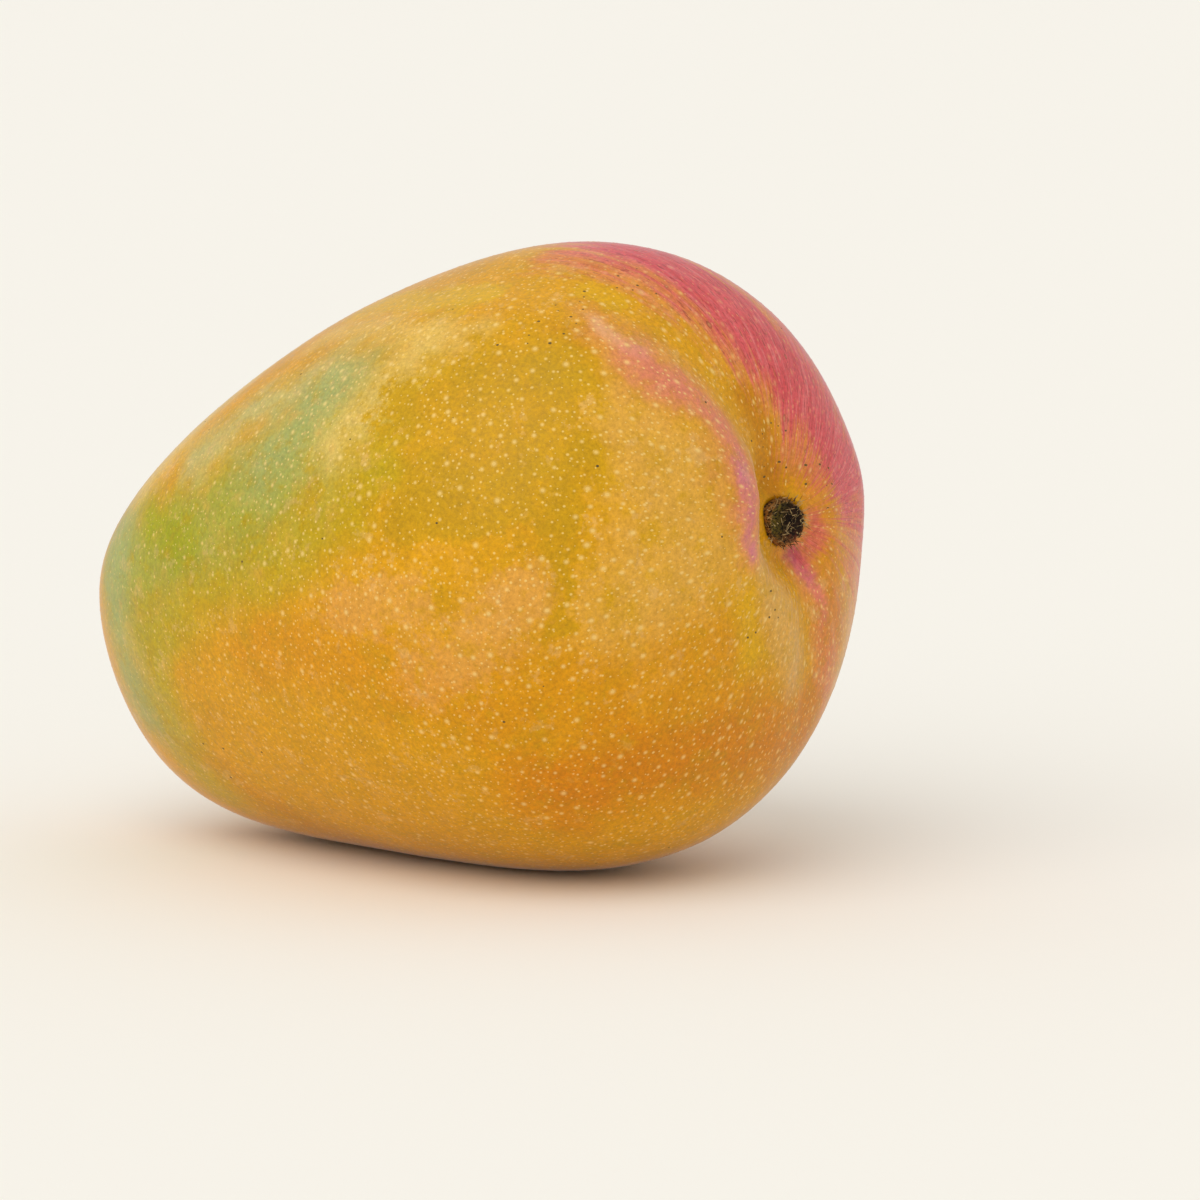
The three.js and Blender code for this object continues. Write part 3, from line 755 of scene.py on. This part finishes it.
# Dry, broken stalk wood: nearly black, olive on the side that dried last, red brown at its foot,
# a tan rim of torn bark, and pale fibres showing in the cracks
def makeStubMaterial():
    material, add = newMaterial("driedStalkWood")
    fromMiddle = add("VectorMath/SUBTRACT", add("TexCoord").outputs["Object"], tuple(stalkMiddle))
    place = add("VectorMath/SCALE", fromMiddle, values={"Scale": 1 / mm})
    toBack, toUp = add("SeparateXYZ", place).outputs[1:3]
    dish = add("Attribute", attribute_name="dish").outputs["Fac"]
    grain = add("TexNoise", place, values={"Scale": 1.6, "Detail": 6.0, "Roughness": 0.7})
    veins = add("TexNoise", place, values={"Scale": 0.55, "Detail": 3.0, "Distortion": 1.2})
    ridges = add("Math/ABSOLUTE", add("Math/SUBTRACT", veins, 0.5))
    patchy = add("MapRange", grain, 0.42, 0.58, 0.0, 1.0)
    backSide = add("MapRange", toBack, -0.4, 1.0, 0.0, 0.85)
    colour = add("Mix/RGBA", add("MapRange", grain, 0.4, 0.7, 0.0, 1.0),
                 linearColour("#120b06"), linearColour("#3a2413"))
    fields = {"frontSide": (toBack, patchy), "foot": (toUp, patchy), "rim": (dish, patchy),
              "cracks": (ridges, backSide)}
    for name, (start, full, most, hexColour) in woodZones.items():
        field, mask = fields[name]
        share = add("Math/MULTIPLY", add("MapRange", field, start, full, 0.0, most), mask)
        colour = add("Mix/RGBA", share, colour, linearColour(hexColour))
    bump = add("Bump", values={"Strength": 0.9, "Distance": 0.0003, "Height": grain})
    shader = add("BsdfPrincipled", values={
        "Base Color": colour, "Roughness": 0.85, "Normal": bump, "IOR": 1.5, "Specular IOR Level": 0.2})
    add("OutputMaterial", shader)
    return material


# Height of the stub's broken top, in mm, at a share of its radius and an angle
def brokenTop(share, angle):
    x, y = math.cos(angle) * share * stub["radius"], math.sin(angle) * share * stub["radius"]

    def bumps(scale, seed):
        return noise.noise(Vector((x * scale, y * scale, seed)))

    hollow = stub["dish"] * (1 - min(share / stub["dishShare"], 1) ** 2) ** stub["dishCurve"]
    crust = stub["crust"] * (1 - 2 * abs(bumps(stub["crustScale"], stub["seed"])))
    teeth = stub["rim"] * bumps(stub["teethScale"], stub["seed"] + 7) * 2 * min(1, max(0, share * 4 - 3))
    fallAway = stub["lipFall"] * max(0, share - stub["lipShare"]) / (1 - stub["lipShare"])
    return stub["rim"] - hollow + crust * min(1, 2 * (1 - share) + 0.35) + teeth - fallAway


def makeStub():
    verts, dish, sides = [], [], stub["sides"]
    shares = [1 - i / stub["rings"] for i in range(stub["rings"])]
    for ring, share in enumerate([1.0, 1.0] + shares):  # the first two rings are its buried wall
        for i in range(sides):
            angle = 2 * math.pi * i / sides
            ragged = noise.noise(Vector((math.cos(angle) * 3, math.sin(angle) * 3, stub["seed"])))
            radius = stub["radius"] * share * (1 + stub["ragged"] * ragged)
            height = stub["foot"] / (ring + 1) if ring < 2 else brokenTop(share, angle)
            spot = Vector((math.cos(angle) * radius, math.sin(angle) * radius, height)) * mm
            verts.append(stalkMiddle + stalkTurn @ (spot + Vector((0, 0, stalkTop))))
            dish.append(share)
    verts.append(stalkMiddle + stalkTurn @ Vector((0, 0, stalkTop + brokenTop(0, 0) * mm)))
    dish.append(0)
    faces = [tuple(reversed(range(sides)))]
    for ring in range(stub["rings"] + 1):
        for i in range(sides):
            a, b = ring * sides + i, ring * sides + (i + 1) % sides
            faces.append((a, b, b + sides, a + sides))
    last = (stub["rings"] + 1) * sides
    faces += [(last + i, last + (i + 1) % sides, len(verts) - 1) for i in range(sides)]
    mesh = bpy.data.meshes.new("stub_wood")
    mesh.from_pydata(verts, [], faces)
    mesh.attributes.new("dish", "FLOAT", "POINT").data.foreach_set("value", dish)
    mesh.shade_smooth()
    mesh.materials.append(makeStubMaterial())
    piece = bpy.data.objects.new("stub_wood", mesh)
    bpy.context.scene.collection.objects.link(piece)
    return piece


stubPiece = makeStub()

# Fibres torn out of the stalk: a fringe round the rim, and some that lie across the hollow. In mm.
rimFibres = {"Count": 70, "Ring": 3.55, "Foot": 0.1, "Scatter": 0.5, "Length": 2.1, "Thickness": 0.09,
             "Outward": 1.0, "Spread": 1.2, "Seed": 8}
hollowFibres = {"Count": 30, "Ring": 2.2, "Foot": -0.35, "Scatter": 1.3, "Length": 2.2, "Thickness": 0.08,
                "Outward": 0.4, "Spread": 5.0, "Seed": 3}


def fibreTree():
    tree, add, given, result = newGroup("Torn Fibres", "GeometryNodeTree", {
        "Fibre": "NodeSocketMaterial", "Middle": (0.0, 0.0, 0.0), "Turn": (0.0, 0.0, 0.0), **rimFibres})
    ring = add("GeometryNodeMeshCircle", given["Count"], given["Ring"])
    scatter = add("FunctionNodeRandomValue/FLOAT_VECTOR", values={
        "Min": (-1.0, -1.0, -0.2), "Max": (1.0, 1.0, 0.2), "Seed": given["Seed"]}).outputs[0]
    offset = add("VectorMath/SCALE", scatter, values={"Scale": given["Scatter"]})
    lifted = add("VectorMath/ADD", offset, add("CombineXYZ", 0.0, 0.0, given["Foot"]))
    feet = add("GeometryNodeSetPosition", ring, values={"Offset": lifted})

    # Each leans out of the ring, strays and rises
    outward = add("VectorMath/NORMALIZE", add("GeometryNodeInputPosition"))
    lean = add("VectorMath/SCALE", outward, values={"Scale": given["Outward"]})
    stray = add("FunctionNodeRandomValue/FLOAT_VECTOR", values={
        "Min": (-1.0, -1.0, 0.0), "Max": (1.0, 1.0, 0.3),
        "Seed": add("Math/ADD", given["Seed"], 1.0)}).outputs[0]
    strayed = add("VectorMath/SCALE", stray, values={"Scale": given["Spread"]})
    aim = add("VectorMath/ADD", add("VectorMath/ADD", lean, strayed), (0.0, 0.0, 1.0))
    turned = add("FunctionNodeAlignRotationToVector", axis="Z", values={"Vector": aim})
    size = add("FunctionNodeRandomValue/FLOAT", values={
        "Min": 0.35, "Max": 1.0, "Seed": add("Math/ADD", given["Seed"], 2.0)})
    length = add("Math/MULTIPLY", size, given["Length"])
    scale = add("CombineXYZ", given["Thickness"], given["Thickness"], length)
    spike = add("GeometryNodeMeshCone", values={
        "Vertices": 5, "Side Segments": 1, "Radius Top": 0.25, "Radius Bottom": 1.0, "Depth": 1.0})
    placed = add("GeometryNodeInstanceOnPoints", feet, values={
        "Instance": spike.outputs["Mesh"], "Rotation": turned, "Scale": scale})
    seated = add("GeometryNodeTransform", add("GeometryNodeRealizeInstances", placed), values={
        "Translation": given["Middle"], "Rotation": given["Turn"], "Scale": (mm, mm, mm)})
    finished = add("GeometryNodeSetMaterial", seated, values={"Material": given["Fibre"]})
    plug(tree, result["Geometry"], finished)
    return tree


stalkSettings = {"Middle": stalkMiddle + stalkTurn @ Vector((0, 0, stalkTop)), "Turn": stalkTurn.to_euler(),
                 "Fibre": makeDryMaterial("dryStalkFibre", fibreLook)}
fibres = fibreTree()
rimFringe = grow("stub_rim_fibres", fibres, {**rimFibres, **stalkSettings})
hollowFringe = grow("stub_hollow_fibres", fibres, {**hollowFibres, **stalkSettings})
print("stub ready")


# Floor, light and a pale room
studio = {"floor": "#f9f5eb", "floorDrop": 0.0002, "floorSize": 60.0, "floorRoughness": 0.9,
          "world": "#ffffff", "worldStrength": 0.74,
          "keyFrom": (0.05, -1.0, 1.0), "keyStrength": 1.12, "keyAngle": 60.0}


def makeStudio():
    scene = bpy.context.scene
    scene.view_settings.view_transform = "Standard"
    half, z = studio["floorSize"] / 2, -studio["floorDrop"]
    mesh = bpy.data.meshes.new("floor")
    corners = [(-half, -half, z), (half, -half, z), (half, half, z), (-half, half, z)]
    mesh.from_pydata(corners, [], [(0, 1, 2, 3)])
    floor = bpy.data.objects.new("floor", mesh)
    scene.collection.objects.link(floor)
    card, add = newMaterial("paleMattCard")  # plain matt card, so that nothing shines but the fruit
    add("OutputMaterial", add("BsdfPrincipled", values={
        "Base Color": linearColour(studio["floor"]), "Roughness": studio["floorRoughness"]}))
    mesh.materials.append(card)
    world = bpy.data.worlds.new("paleRoom")
    world.use_nodes = True
    background = world.node_tree.nodes["Background"]
    background.inputs["Color"].default_value = linearColour(studio["world"])
    background.inputs["Strength"].default_value = studio["worldStrength"]
    scene.world = world
    lamp = bpy.data.lights.new("key", "SUN")
    lamp.energy = studio["keyStrength"]
    lamp.angle = math.radians(studio["keyAngle"])
    key = bpy.data.objects.new("key", lamp)
    key.rotation_euler = Vector([-v for v in studio["keyFrom"]]).to_track_quat("-Z", "Y").to_euler()
    scene.collection.objects.link(key)


makeStudio()
print("studio ready")

for piece in (skin, largePores, smallPores, scars, stubPiece, rimFringe, hollowFringe):
    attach(piece, "root")
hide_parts("fruit")
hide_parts("stem_stub")
